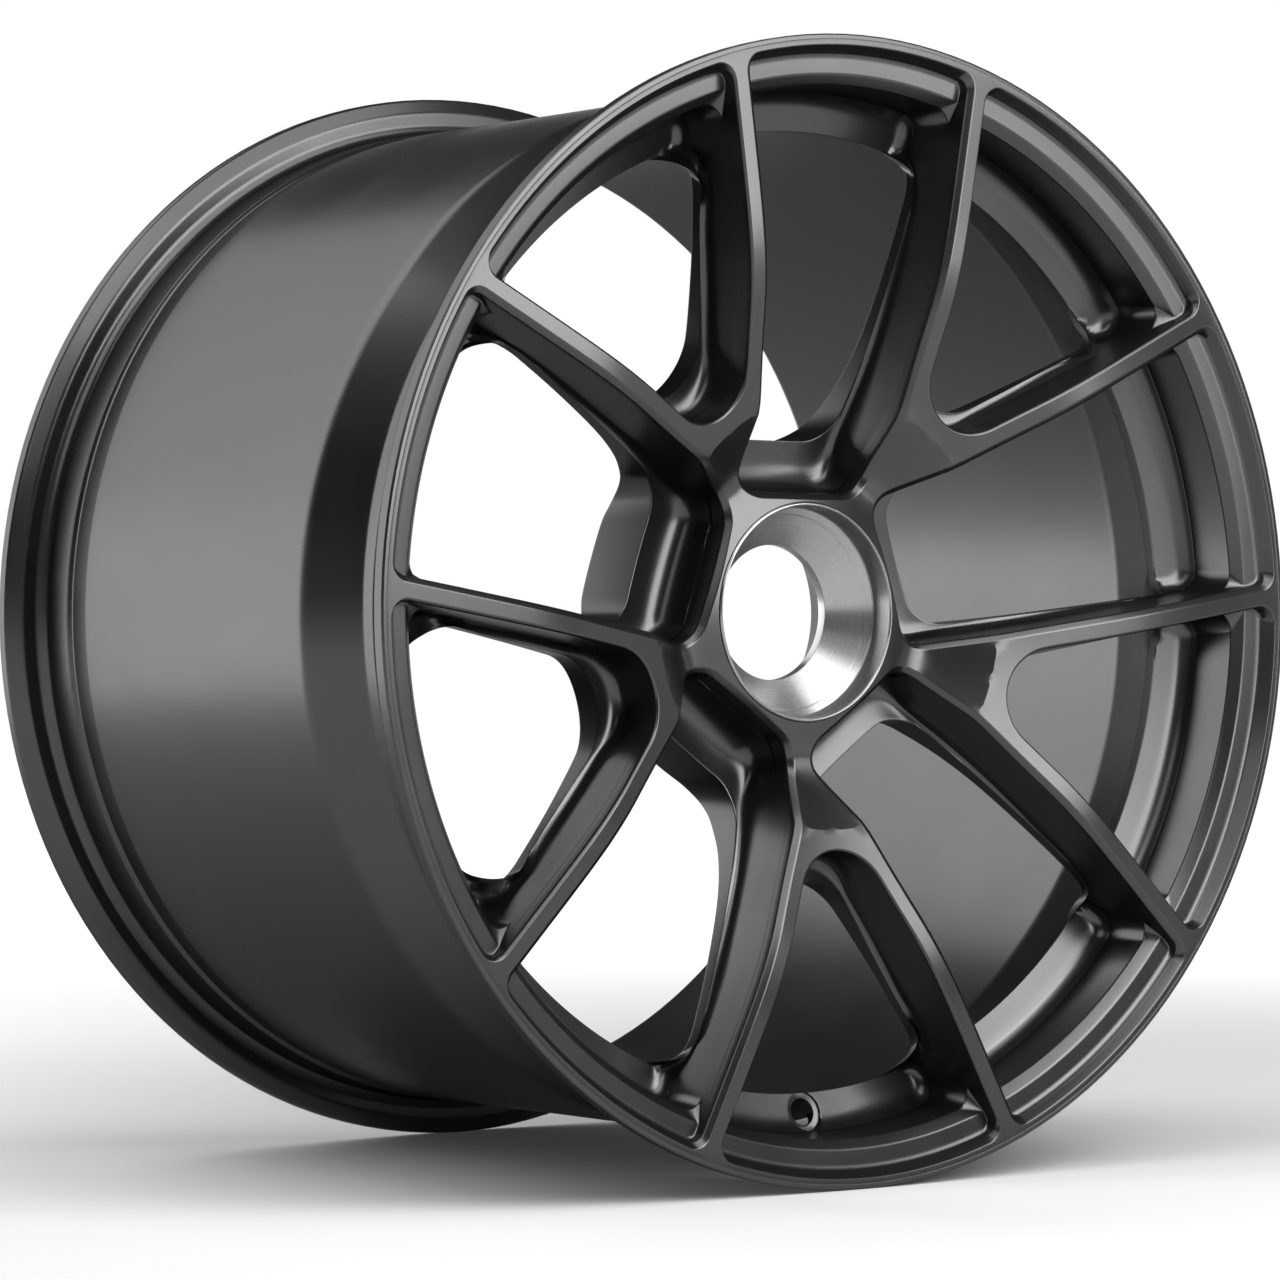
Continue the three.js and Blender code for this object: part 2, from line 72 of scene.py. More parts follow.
hub = {
    "faceEdge": 50.35,
    "padEdge": 77.0,
    "bore": [                     # from the nut seat's hole through to the pad
        (50.35, 41.55, 0), (50.3, 42.0, 0), (50.3, 72.6, 0.3), (42.0, 72.6, 0.5),
        (42.0, 86.2, 1.5), (53.6, 105.8, 0.6), (54.4, 106.2, 0), (77.0, 106.2, 0),
    ],
    "padDepth": 106.2,
    "pinCircle": 65.0,
    "pocketRadius": 9.65,
    "pocketDepth": 22.3,
}
spoke = {
    "slant": math.radians(27.25),     # a tine leans this much from its fork's middle line
    "crossing": 67.8,             # where the two lines cross
    "footRadius": 125.0,          # a window's side is set out at these two radii
    "endRadius": 225.0,
    "crease": 98.6,               # the hub's slope starts here
    "rimFace": 0.35,              # depth of the tines' faces where they meet the rim
    "hubFace": [
        (50.3, 41.55), (56, 43.1), (61, 44.4), (65.5, 45.0), (70, 44.4), (76, 41.3),
        (83, 35.5), (90.6, 28.9), (98.6, 22.1),
    ],
    "face": [
        (98.6, 22.1), (110, 18.9), (122, 15.6), (137, 11.1), (150, 7.2), (160, 5.0),
        (171, 3.3), (186, 2.1), (202, 1.5), (225, 0.95), (245, 0.5), (256, 0.2),
    ],
    "back": [
        (77, 106.2), (80.5, 105.2), (84, 100.2), (92, 88.5), (104, 75), (116, 64.5), (135, 54),
        (155, 47), (176, 41.2), (192, 37.8), (202, 36.2), (207, 36.6), (213, 41.2),
        (217.5, 48.5), (222.3, 55.1), (224.5, 61.25), (227, 68.2),
    ],
}
# A window's wall is a ladder of rows, from the face down to the back. At the rim both kinds of window
# have the same rows: (radius, corner's radius, depth where no face or curve below gives it).
windowRim = {
    "fill": (254.3, 8.9),
    "faceEdge": (253.8, 8.5),
    "chamfer": (251.4, 6.6, 4.7),
    "wall": (250.9, 6.1, 5.5),
    "stepTop": (250.6, 5.8, 6.2),
    "stepTurn": (250.0, 5.2, 6.9),
    "stepFoot": (249.0, 4.3, 7.3),
    "step": (247.7, 3.2, 7.45),
    "ledge": (241.4, 0.8, 8.1),
    "slope": (237.1, 8.5, 12.6),
    "bend": (235.9, 10.2),
    "floor": (235.6, 10.2),
    "edge": (218.9, 14.5),
    "backEdge": (222.3, 14.0),
    "backFill": (222.9, 13.7),
}
# Elsewhere: (distance from the tine's middle line at its foot, and at its end, where the row ends at the
# hub, the radius of its corner there). A fork's window ends in one arc, so it has no such corner.
coveWindow = {
    "chamferDepth": 2.2,
    "rows": {
        "fill": (2.0, 2.0, 50.95, 16),
        "faceEdge": (2.45, 2.45, 51.3, 16),
        "chamfer": (5.2, 5.2, 54.0, 13.5),
        "wall": (5.35, 5.35, 54.2, 13.4),
        "stepTop": (5.36, 5.36, 54.2, 13.4),
        "stepTurn": (5.37, 5.37, 54.2, 13.4),
        "stepFoot": (5.38, 5.38, 54.3, 13.3),
        "step": (5.39, 5.39, 54.3, 13.3),
        "ledge": (5.42, 5.42, 54.35, 13.3),
        "slope": (5.5, 5.5, 54.5, 13.2),
        "bend": (5.8, 5.8, 55.0, 13),
        "floor": (5.85, 5.85, 55.2, 13),
        "edge": (9.5, 5.9, 79.2, 17),
        "backEdge": (9.8, 6.6, 79.0, 17),
        "backFill": (9.3, 6.1, 78.5, 17.5),
    },
    "curves": {                   # (radius, depth) of the pocket beside the tine
        "bend": [
            (54, 56), (72, 55), (90, 50), (108, 46), (124, 42), (150, 35), (177, 28.5), (200, 27.0),
            (206, 27.6), (212, 32.5), (218, 38.0), (228, 34.5), (235.9, 30.5),
        ],
        "floor": [
            (54, 77.5), (66, 76), (75, 73), (90, 64.5), (108, 55), (124, 48.2), (150, 39.8), (177, 33),
            (202, 29.6), (206.5, 30.4), (212, 36.6), (216.5, 43.6), (220, 46.05), (235.6, 41.2),
        ],
        "edge": [
            (79, 69.5), (90, 65.5), (102, 59), (124, 49.8), (155, 40.6), (175, 35.6), (190, 32.3),
            (202, 30.2), (206.5, 30.8), (212, 37.0), (216.5, 44.0), (218.9, 46.4),
        ],
    },
}
forkWindow = {
    "chamferDepth": 1.2,
    "rows": {
        "fill": (3.7, 3.7, 106.75),
        "faceEdge": (4.15, 4.15, 107.2),
        "chamfer": (5.25, 5.25, 108.3),
        "wall": (5.35, 5.35, 108.4),
        "stepTop": (5.36, 5.36, 108.4),
        "stepTurn": (5.37, 5.37, 108.4),
        "stepFoot": (5.38, 5.38, 108.45),
        "step": (5.39, 5.39, 108.45),
        "ledge": (5.42, 5.42, 108.5),
        "slope": (5.5, 5.5, 108.6),
        "bend": (5.8, 5.8, 109.0),
        "floor": (5.85, 5.85, 109.1),
        "edge": (10.3, 8.2, 122.0),
        "backEdge": (10.6, 8.6, 122.4),
        "backFill": (10.1, 8.1, 121.9),
    },
    "curves": {                   # (radius, depth) of the pocket beside the tine
        "bend": [
            (108, 36), (122, 34), (155, 30), (189, 24), (203, 22.5), (208, 24.5), (213, 31), (218, 37.5),
            (228, 34.5), (235.9, 30.5),
        ],
        "floor": [
            (108, 47.5), (122, 44.5), (155, 37.2), (189, 31), (203, 27.7), (207.5, 29), (212.5, 36.8),
            (216.5, 43.6), (220, 46.05), (235.6, 41.2),
        ],
        "edge": [
            (122, 45), (155, 38.5), (189, 33), (203, 28.9), (207.5, 30), (212.5, 37.8), (216.5, 44.2),
            (218.9, 46.4),
        ],
    },
}
steps = {
    "rim": 12, "corner": 16, "side": 30, "hub": 12, "flat": 5, "bend": 11, "flatFloor": 4,
}
finish = {
    "bendShare": 0.86,            # how far the bend reaches across the floor
    "edgeRound": 0.8,
    "edgeRoom": 0.45,             # the most of a narrow strip that a rounded edge takes
    "creased": {"faceEdge", "chamfer", "ledge", "slope", "edge", "backEdge"},
    "fillSpacing": 3.2,
    "fillClear": 0.42,            # share of that spacing kept free along the windows
    "planTolerance": 0.00001,
    "filletRoom": 0.49,           # the most of a straight that a fillet takes at one end
    "arcStep": 9,                 # degrees
    # points closer than a weld become one, and edges shorter than the smallest go
    "weld": 0.02, "closeWeld": 0.004, "smallest": 0.002,
}
# radii of the rings of points on the faces and backs: (first, end, step)
fillRings = {
    "hub": (52.5, 98, 2.4), "crease": (98.55, 98.75), "tines": (101.5, 131, 3.0),
    "back": (78.5, 135, 3.0),
}
# The shelf inside the rim is a milled floor: a shallow cone with a fillet against the walls round it.
shelf = {
    "radius": 235.6, "depth": 41.2, "slope": 0.311, "fillet": 7.0, "thickness": 4.0,
    "fadeStart": 199.0, "fadeEnd": 211.0, "filletStart": 205.0, "filletEnd": 218.0,
    "rows": {"bend", "floor", "edge"},
}


def curveThrough(knots):
    # a smooth curve through the knots that never overshoots them
    x, y = np.array(knots, float).T
    step = np.diff(x)
    slope = np.diff(y) / step
    tangent = np.zeros_like(y)
    for i in range(1, len(x) - 1):
        if slope[i - 1] * slope[i] > 0:
            a, b = 2 * step[i] + step[i - 1], step[i] + 2 * step[i - 1]
            tangent[i] = (a + b) / (a / slope[i - 1] + b / slope[i])
    tangent[0], tangent[-1] = slope[0], slope[-1]

    def at(value):
        v = np.clip(value, x[0], x[-1])
        i = np.clip(np.searchsorted(x, v) - 1, 0, len(step) - 1)
        t = (v - x[i]) / step[i]
        return (
            (2 * t**3 - 3 * t**2 + 1) * y[i] + (t**3 - 2 * t**2 + t) * step[i] * tangent[i]
            + (3 * t**2 - 2 * t**3) * y[i + 1] + (t**3 - t**2) * step[i] * tangent[i + 1]
        )

    return at


hubFace = curveThrough(spoke["hubFace"])
tineFace = curveThrough(spoke["face"])
backDepth = curveThrough(spoke["back"])


def faceDepth(radius):
    return np.where(radius < spoke["crease"], hubFace(radius), tineFace(radius))


def heading(angle):
    return np.stack([np.sin(angle), np.cos(angle)], axis=-1)


def rounded(corners):
    # an open profile whose corners (x, y, fillet) become arcs
    points = []
    for i, (x, y, radius) in enumerate(corners):
        corner = np.array([x, y], float)
        if not radius or i in (0, len(corners) - 1):
            points.append(corner)
            continue
        before = np.array(corners[i - 1][:2]) - corner
        after = np.array(corners[i + 1][:2]) - corner
        room = finish["filletRoom"] * min(np.linalg.norm(before), np.linalg.norm(after))
        before /= np.linalg.norm(before)
        after /= np.linalg.norm(after)
        half = math.acos(float(np.clip(before @ after, -1, 1))) / 2
        run = min(radius / math.tan(half), room)
        count = max(2, math.ceil(math.degrees(math.pi - 2 * half) / finish["arcStep"]))
        middle = (before + after) / np.linalg.norm(before + after)
        centre = corner + middle * run / math.cos(half)
        start, end = corner + before * run - centre, corner + after * run - centre
        turn = math.atan2(start[0] * end[1] - start[1] * end[0], float(start @ end))
        for k in range(count + 1):
            c, s = math.cos(turn * k / count), math.sin(turn * k / count)
            points.append(centre + np.array([
                c * start[0] - s * start[1], s * start[0] + c * start[1],
            ]))
    return np.array(points)


def besideTine(radius, distance, kind):
    # a point beside the right tine's centre line, in its window's own upright frame
    slant, crossing = spoke["slant"], spoke["crossing"]
    half = crossing * math.cos(slant)
    along = math.sqrt(half**2 - crossing**2 + radius**2) - half
    side = 1 if kind == "fork" else -1
    x = along * math.sin(slant) - side * distance * math.cos(slant)
    z = crossing + along * math.cos(slant) + side * distance * math.sin(slant)
    if kind == "fork":
        return np.array([x, z])
    c, s = math.cos(halfPitch), math.sin(halfPitch)
    return np.array([-x * c + z * s, x * s + z * c])


def sideLine(kind, foot, end):
    start = besideTine(spoke["footRadius"], foot, kind)
    along = besideTine(spoke["endRadius"], end, kind) - start
    along /= np.linalg.norm(along)
    return start, along, np.array([-along[1], along[0]])


def windowRow(kind, name, row):
    # half a window's outline, from the middle of the rim round to the middle of the hub
    rimRadius, corner = windowRim[name][:2]
    start, along, inward = sideLine(kind, *row[:2])
    base = start + inward * corner
    b = base @ along
    centre = base + along * (math.sqrt(b * b - base @ base + (rimRadius - corner) ** 2) - b)
    rimTurn = math.atan2(*centre)
    sideTurn = math.atan2(*(-inward))
    top = centre - inward * corner
    if kind == "fork":
        apex = row[2]
        vertex = start[1] - start[0] * along[1] / along[0]
        radius = (apex - vertex) * along[0] / (1 - along[0])
        hubCentre = np.array([0, apex + radius])
    else:
        level, radius = row[2:]
        base = start + inward * radius
        hubCentre = base + along * (level + radius - base[1]) / along[1]
    bottom = hubCentre - inward * radius
    points = [
        rimRadius * heading(np.linspace(0, rimTurn, steps["rim"], endpoint=False)),
        centre + corner * heading(np.linspace(rimTurn, sideTurn, steps["corner"], endpoint=False)),
        np.linspace(top, bottom, steps["side"], endpoint=False),
        hubCentre + radius * heading(np.linspace(sideTurn, math.pi, steps["hub"] + 1)),
    ]
    if kind == "cove":
        points.append(np.linspace([hubCentre[0], level], [0, level], steps["flat"] + 1)[1:])
    outline = np.concatenate(points)
    outline[[0, -1], 0] = 0
    return outline


def easeBetween(value, low, high):
    t = np.clip((value - low) / (high - low), 0, 1)
    return t * t * (3 - 2 * t)


def rowDepths(window, name, plan):
    # how deep each point of a row lies
    radius = np.linalg.norm(plan, axis=1)
    if name in ("fill", "faceEdge"):
        return faceDepth(radius)
    if name in ("backEdge", "backFill"):
        return backDepth(radius)
    if name in window["curves"]:
        return curveThrough(window["curves"][name])(radius)
    drop = windowRim[name][2] - spoke["rimFace"]
    if name == "chamfer":
        # broad at the rim, narrow along the tines
        share = easeBetween(np.arange(len(plan)), steps["rim"], steps["rim"] + steps["corner"] - 1)
        drop = drop * (1 - share) + window["chamferDepth"] * share
    return faceDepth(radius) + drop


def onShelf(row, wallFoot):
    # moves a row's points beyond the tine's own floor on to the shelf
    radius = np.linalg.norm(row[:, :2], axis=1)
    away = distanceToLine(row[:, :2], wallFoot)
    lift = shelf["fillet"] * (1 - np.sqrt(1 - (1 - np.clip(away / shelf["fillet"], 0, 1)) ** 2))
    cone = shelf["depth"] + (shelf["radius"] - radius) * shelf["slope"]
    base = np.minimum(cone, backDepth(radius) - shelf["thickness"])
    depth = base - lift * easeBetween(radius, shelf["filletStart"], shelf["filletEnd"])
    share = easeBetween(radius, shelf["fadeStart"], shelf["fadeEnd"])
    out = row.copy()
    out[:, 2] = row[:, 2] * (1 - share) + depth * share
    return out


def windowWall(kind, window):
    # all rows of half a window as [row, point, (x, z, depth)]
    key = {}
    for name, row in window["rows"].items():
        plan = windowRow(kind, name, row)
        key[name] = np.column_stack([plan, rowDepths(window, name, plan)])
    names = list(key)
    bend, corner, edge = key["bend"], key["floor"], key["edge"]
    turnEnd = corner + (edge - corner) * finish["bendShare"]
    ladder = [(name, key[name]) for name in names[:names.index("bend")]]
    for k in range(steps["bend"] + 1):
        t = k / steps["bend"]
        ladder.append(("bend", (1 - t) ** 2 * bend + 2 * t * (1 - t) * corner + t * t * turnEnd))
    for k in range(1, steps["flatFloor"]):
        ladder.append(("floor", turnEnd + (edge - turnEnd) * k / steps["flatFloor"]))
    ladder += [(name, key[name]) for name in names[names.index("edge"):]]
    wallFoot = corner[:, :2]
    rows = [onShelf(row, wallFoot) if name in shelf["rows"] else row for name, row in ladder]
    return roundEdges(rows, [name for name, _ in ladder])


def roundEdges(rows, names):
    # splits each sharp row into three that go round the edge
    soft = []
    for i, (name, row) in enumerate(zip(names, rows)):
        if name not in finish["creased"]:
            soft.append(row)
            continue
        ends = []
        for beside in (rows[i - 1], rows[i + 1]):
            across = beside - row
            length = np.maximum(np.linalg.norm(across, axis=1, keepdims=True), 1e-6)
            ends.append(row + across * np.minimum(finish["edgeRound"] / length, finish["edgeRoom"]))
        first, last = ends
        soft += [first, (first + 2 * row + last) / 4, last]
    return np.array(soft)


def toSector(plan, kind):
    # from a window's own frame to that of the fork that points up
    x, z = plan[..., 0], plan[..., 1]
    if kind == "fork":
        return plan.copy()
    c, s = math.cos(halfPitch), math.sin(halfPitch)
    out = plan.copy()
    out[..., 0] = -x * c + z * s
    out[..., 1] = x * s + z * c
    return out


class Shell:
    # the points and faces of one mesh while it is being gathered
    def __init__(self):
        self.points, self.faces, self.count = [], [], 0

    def grid(self, rows):
        rows = np.asarray(rows)
        high, wide = rows.shape[:2]
        base = self.count
        self.points.append(rows.reshape(-1, 3))
        self.count += high * wide
        for i in range(high - 1):
            for j in range(wide - 1):
                a = base + i * wide + j
                self.faces.append((a, a + 1, a + wide + 1, a + wide))

    def patch(self, points, faces):
        base = self.count
        self.points.append(np.asarray(points))
        self.count += len(points)
        self.faces += [tuple(base + k for k in f) for f in faces]


def distanceToLine(points, line):
    a, b = line[:-1], line[1:]
    along = b - a
    size = np.maximum((along**2).sum(1), 1e-12)
    best = np.full(len(points), np.inf)
    for p, d, s in zip(a, along, size):
        t = np.clip(((points - p) @ d) / s, 0, 1)
        best = np.minimum(best, np.linalg.norm(points - p - t[:, None] * d, axis=1))
    return best


def insideLoop(points, loop):
    inside = np.zeros(len(points), bool)
    for (x1, z1), (x2, z2) in zip(loop, np.roll(loop, -1, axis=0)):
        if z1 == z2:
            continue
        crosses = (z1 > points[:, 1]) != (z2 > points[:, 1])
        inside ^= crosses & (points[:, 0] < (x2 - x1) * (points[:, 1] - z1) / (z2 - z1) + x1)
    return inside


def sectorFill(shell, forkEdge, coveEdge, inner, outer, depthAt, rings):
    # the part of a turned surface that the windows leave, between two circles, in half a sector
    count = rim["arcSteps"] + 1
    up, side = heading(0.0), heading(halfPitch)
    innerArc = inner * heading(np.linspace(0, halfPitch, count))
    outerArc = outer * heading(np.linspace(halfPitch, 0, count))

    def spaced(start, end, direction):
        count = max(1, round(abs(end - start) / finish["fillSpacing"]))
        return np.linspace(start, end, count + 1)[1:-1, None] * direction

    loop = np.concatenate([
        innerArc,
        spaced(inner, np.linalg.norm(coveEdge[-1]), side),
        coveEdge[::-1],
        spaced(np.linalg.norm(coveEdge[0]), outer, side),
        outerArc,
        spaced(outer, np.linalg.norm(forkEdge[0]), up),
        forkEdge,
        spaced(np.linalg.norm(forkEdge[-1]), inner, up),
    ])
    extra = []
    for radius in rings:
        count = max(2, round(radius * halfPitch / finish["fillSpacing"]))
        extra.append(radius * heading(np.linspace(0, halfPitch, count + 1)[1:-1]))
    extra = np.concatenate(extra)
    extra = extra[insideLoop(extra, loop)]
    closed = np.concatenate([loop, loop[:1]])
    extra = extra[distanceToLine(extra, closed) > finish["fillClear"] * finish["fillSpacing"]]
    points = np.concatenate([loop, extra])
    flat = [Vector((float(x), float(z))) for x, z in points]
    edges = [(i, (i + 1) % len(loop)) for i in range(len(loop))]
    verts, _, faces, origin, _, _ = delaunay_2d_cdt(flat, edges, [], 0, finish["planTolerance"], True)
    plan = np.array([points[o[0]] if o else tuple(v) for v, o in zip(verts, origin)])
    middles = np.array([plan[list(f)].mean(axis=0) for f in faces])
    faces = [f for f, keep in zip(faces, insideLoop(middles, loop)) if keep]
    print("surface between the windows:", len(verts), "points,", len(faces), "faces")
    radius = np.linalg.norm(plan, axis=1)
    shell.patch(np.column_stack([plan, depthAt(radius)]), faces)


def lathePart(shell, profile):
    # a turned surface in half a sector
    angles = np.linspace(0, halfPitch, rim["arcSteps"] + 1)
    turn = heading(angles)
    shell.grid([np.column_stack([radius * turn, np.full(len(turn), depth)]) for radius, depth in profile])


half = Shell()
fronts, backs = [], []
for kind, window in (("fork", forkWindow), ("cove", coveWindow)):
    wall = toSector(windowWall(kind, window), kind)
    half.grid(wall)
    fronts.append(wall[0][:, :2])
    backs.append(wall[-1][:, :2])
    print(kind, "window's wall:", wall.shape[0], "rows of", wall.shape[1], "points")

faceRings = [*np.arange(*fillRings["hub"]), *fillRings["crease"], *np.arange(*fillRings["tines"])]
backRings = np.arange(*fillRings["back"])
sectorFill(half, *fronts, hub["faceEdge"], rim["fillRadius"], faceDepth, faceRings)
sectorFill(half, *backs, hub["padEdge"], rim["backRadius"], backDepth, backRings)
lathePart(half, rounded(rim["barrel"]))
lathePart(half, rounded(hub["bore"]))


def toFrame(points):
    # (x, z, depth) in millimetres to the frame's metres
    return np.column_stack([points[:, 0], points[:, 2] + lipPlane, points[:, 1]]) * mm


def fifthMesh(shell):
    points = toFrame(np.concatenate(shell.points))
    count = len(points)
    mirrored = points * np.array([-1, 1, 1])
    faces = shell.faces + [tuple(count + k for k in reversed(f)) for f in shell.faces]
    data = bpy.data.meshes.new("forging_fifth")
    data.from_pydata([tuple(p) for p in np.concatenate([points, mirrored])], [], faces)
    return data


def link(name, data):
    piece = bpy.data.objects.new(name, data)
    bpy.context.scene.collection.objects.link(piece)
    return piece


def node(tree, kind, **inputs):
    made = tree.nodes.new(kind)
    for key, value in inputs.items():
        setattr(made, key, value)
    return made


def turnTree():
    # repeats a piece round the wheel's axis, welds the copies and gives them their material
    tree = bpy.data.node_groups.new("repeatRoundAxis", "GeometryNodeTree")
    face = tree.interface
    face.new_socket("Geometry", in_out="INPUT", socket_type="NodeSocketGeometry")
    face.new_socket("Count", in_out="INPUT", socket_type="NodeSocketInt")
    face.new_socket("First Angle", in_out="INPUT", socket_type="NodeSocketFloat")
    face.new_socket("Weld", in_out="INPUT", socket_type="NodeSocketFloat")
    face.new_socket("Material", in_out="INPUT", socket_type="NodeSocketMaterial")
    face.new_socket("Geometry", in_out="OUTPUT", socket_type="NodeSocketGeometry")
    start, end = node(tree, "NodeGroupInput"), node(tree, "NodeGroupOutput")
    points = node(tree, "GeometryNodePoints")
    index = node(tree, "GeometryNodeInputIndex")
    share = node(tree, "ShaderNodeMath", operation="DIVIDE")
    angle = node(tree, "ShaderNodeMath", operation="MULTIPLY_ADD")
    angle.inputs[1].default_value = 2 * math.pi
    turn = node(tree, "ShaderNodeCombineXYZ")
    copies = node(tree, "GeometryNodeInstanceOnPoints")
    real = node(tree, "GeometryNodeRealizeInstances")
    weld = node(tree, "GeometryNodeMergeByDistance")
    paint = node(tree, "GeometryNodeSetMaterial")
    wire = tree.links.new
    wire(start.outputs["Count"], points.inputs["Count"])
    wire(index.outputs[0], share.inputs[0])
    wire(start.outputs["Count"], share.inputs[1])
    wire(share.outputs[0], angle.inputs[0])
    wire(start.outputs["First Angle"], angle.inputs[2])
    wire(angle.outputs[0], turn.inputs["Y"])
    wire(points.outputs[0], copies.inputs["Points"])
    wire(start.outputs["Geometry"], copies.inputs["Instance"])
    wire(turn.outputs[0], copies.inputs["Rotation"])
    # instances have to be real before they can be welded
    wire(copies.outputs[0], real.inputs["Geometry"])
    wire(real.outputs[0], weld.inputs["Geometry"])
    wire(start.outputs["Weld"], weld.inputs["Distance"])
    wire(weld.outputs[0], paint.inputs["Geometry"])
    wire(start.outputs["Material"], paint.inputs["Material"])
    wire(paint.outputs[0], end.inputs[0])
    return tree


def plainMesh(piece):
    # the piece with its modifiers applied
    made = bpy.data.meshes.new_from_object(piece.evaluated_get(bpy.context.evaluated_depsgraph_get()))
    piece.modifiers.clear()
    piece.data = made


def repeatRound(name, data, tree, values):
    # runs the tree on the mesh and keeps its result as a plain mesh
    source = link(name, data)
    modifier = source.modifiers.new("repeat", "NODES")
    modifier.node_group = tree
    sockets = {s.name: s.identifier for s in tree.interface.items_tree if s.in_out == "INPUT"}
    for key, value in values.items():
        modifier[sockets[key]] = value
    plainMesh(source)
    return source


def newMaterial(name):
    made = bpy.data.materials.new(name)
    made.use_nodes = True
    tree = made.node_tree
    return made, tree, tree.nodes["Principled BSDF"]


def objectNoise(tree, scale, detail, stretch=(1, 1, 1)):
    place = node(tree, "ShaderNodeTexCoord")
    mapping = node(tree, "ShaderNodeMapping")
    mapping.inputs["Scale"].default_value = stretch
    noise = node(tree, "ShaderNodeTexNoise")
    noise.inputs["Scale"].default_value = scale
    noise.inputs["Detail"].default_value = detail
    tree.links.new(place.outputs["Object"], mapping.inputs["Vector"])
    tree.links.new(mapping.outputs[0], noise.inputs["Vector"])
    return noise


def ramp(tree, source, low, high, fromLow=0.35, fromHigh=0.65, kind="LINEAR"):
    made = node(tree, "ShaderNodeMapRange", interpolation_type=kind)
    made.inputs["From Min"].default_value = fromLow
    made.inputs["From Max"].default_value = fromHigh
    made.inputs["To Min"].default_value = low
    made.inputs["To Max"].default_value = high
    tree.links.new(source, made.inputs["Value"])
    return made.outputs["Result"]


def finishMetal(tree, shader, look, mottle, marks):
    # colour and metal on the shader's own sockets, mottled roughness, and marks as fine relief
    shader.inputs["Base Color"].default_value = look["colour"]
    shader.inputs["Metallic"].default_value = look["metal"]
    bump = node(tree, "ShaderNodeBump")
    bump.inputs["Strength"].default_value = look["markStrength"]
    bump.inputs["Distance"].default_value = look["markDepth"]
    tree.links.new(ramp(tree, mottle.outputs[0], look["roughLow"], look["roughHigh"]),
                   shader.inputs["Roughness"])
    tree.links.new(marks.outputs[0], bump.inputs["Height"])
    tree.links.new(bump.outputs[0], shader.inputs["Normal"])


coating = {
    "colour": (0.074, 0.074, 0.075, 1), "metal": 0.92, "edgeTint": (0.42, 0.42, 0.42, 1),
    "roughLow": 0.235, "roughHigh": 0.275, "mottleScale": 22.0, "mottleDetail": 3.0,
    "grainScale": 1600.0, "grainDetail": 2.0, "markDepth": 0.00001, "markStrength": 0.12,
}


def coatingMaterial():
    made, tree, shader = newMaterial("powder_coat")
    shader.inputs["Specular Tint"].default_value = coating["edgeTint"]
    mottle = objectNoise(tree, coating["mottleScale"], coating["mottleDetail"])
    grain = objectNoise(tree, coating["grainScale"], coating["grainDetail"])
    finishMetal(tree, shader, coating, mottle, grain)
    return made


turned = {
    "colour": (0.36, 0.36, 0.365, 1), "metal": 1.0, "roughLow": 0.24, "roughHigh": 0.3,
    "stretch": 0.75, "stretchTurn": 0.25,
    "grooveScale": 5200.0, "grooveDetail": 2.0, "markDepth": 0.000006, "markStrength": 0.5,
}


def seatMaterial():
    # turned metal: grooves run round the axis, so highlights spread across them
    made, tree, shader = newMaterial("turned_aluminium")
    wire = tree.links.new
    shader.inputs["Anisotropic"].default_value = turned["stretch"]
    shader.inputs["Anisotropic Rotation"].default_value = turned["stretchTurn"]
    around = node(tree, "ShaderNodeTangent", direction_type="RADIAL", axis="Y")
    wire(around.outputs[0], shader.inputs["Tangent"])
    place = node(tree, "ShaderNodeTexCoord")
    flat = node(tree, "ShaderNodeVectorMath", operation="MULTIPLY")
    flat.inputs[1].default_value = (1, 0, 1)
    radius = node(tree, "ShaderNodeVectorMath", operation="LENGTH")
    grooves = node(tree, "ShaderNodeTexNoise", noise_dimensions="1D")
    grooves.inputs["Scale"].default_value = turned["grooveScale"]
    grooves.inputs["Detail"].default_value = turned["grooveDetail"]
    wire(place.outputs["Object"], flat.inputs[0])
    wire(flat.outputs[0], radius.inputs[0])
    wire(radius.outputs["Value"], grooves.inputs["W"])
    finishMetal(tree, shader, turned, grooves, grooves)
    return made


plated = {
    "colour": (0.4, 0.4, 0.41, 1), "metal": 1.0, "roughLow": 0.3, "roughHigh": 0.38,
    "mottleScale": 60.0, "mottleDetail": 3.0,
    "grainScale": 2400.0, "grainDetail": 2.0, "grainStretch": (0.08, 1, 0.08),
    "markDepth": 0.000005, "markStrength": 0.2,
}


def bushMaterial():
    made, tree, shader = newMaterial("plated_steel")
    mottle = objectNoise(tree, plated["mottleScale"], plated["mottleDetail"])
    # tool marks run round the bush's bore
    grain = objectNoise(tree, plated["grainScale"], plated["grainDetail"], plated["grainStretch"])
    finishMetal(tree, shader, plated, mottle, grain)
    return made


turnAbout = turnTree()
coat = coatingMaterial()
forging = repeatRound("forging", fifthMesh(half), turnAbout, {
    "Count": forkCount, "First Angle": math.pi, "Weld": finish["weld"] * mm, "Material": coat,
})
work = bmesh.new()
work.from_mesh(forging.data)
bmesh.ops.remove_doubles(work, verts=work.verts, dist=finish["closeWeld"] * mm)
bmesh.ops.dissolve_degenerate(work, edges=work.edges, dist=finish["smallest"] * mm)
bmesh.ops.recalc_face_normals(work, faces=work.faces)
openEdges = sum(not e.is_manifold for e in work.edges)
print("forging:", len(work.verts), "points,", len(work.faces), "faces,", openEdges, "open edges")
work.to_mesh(forging.data)
work.free()


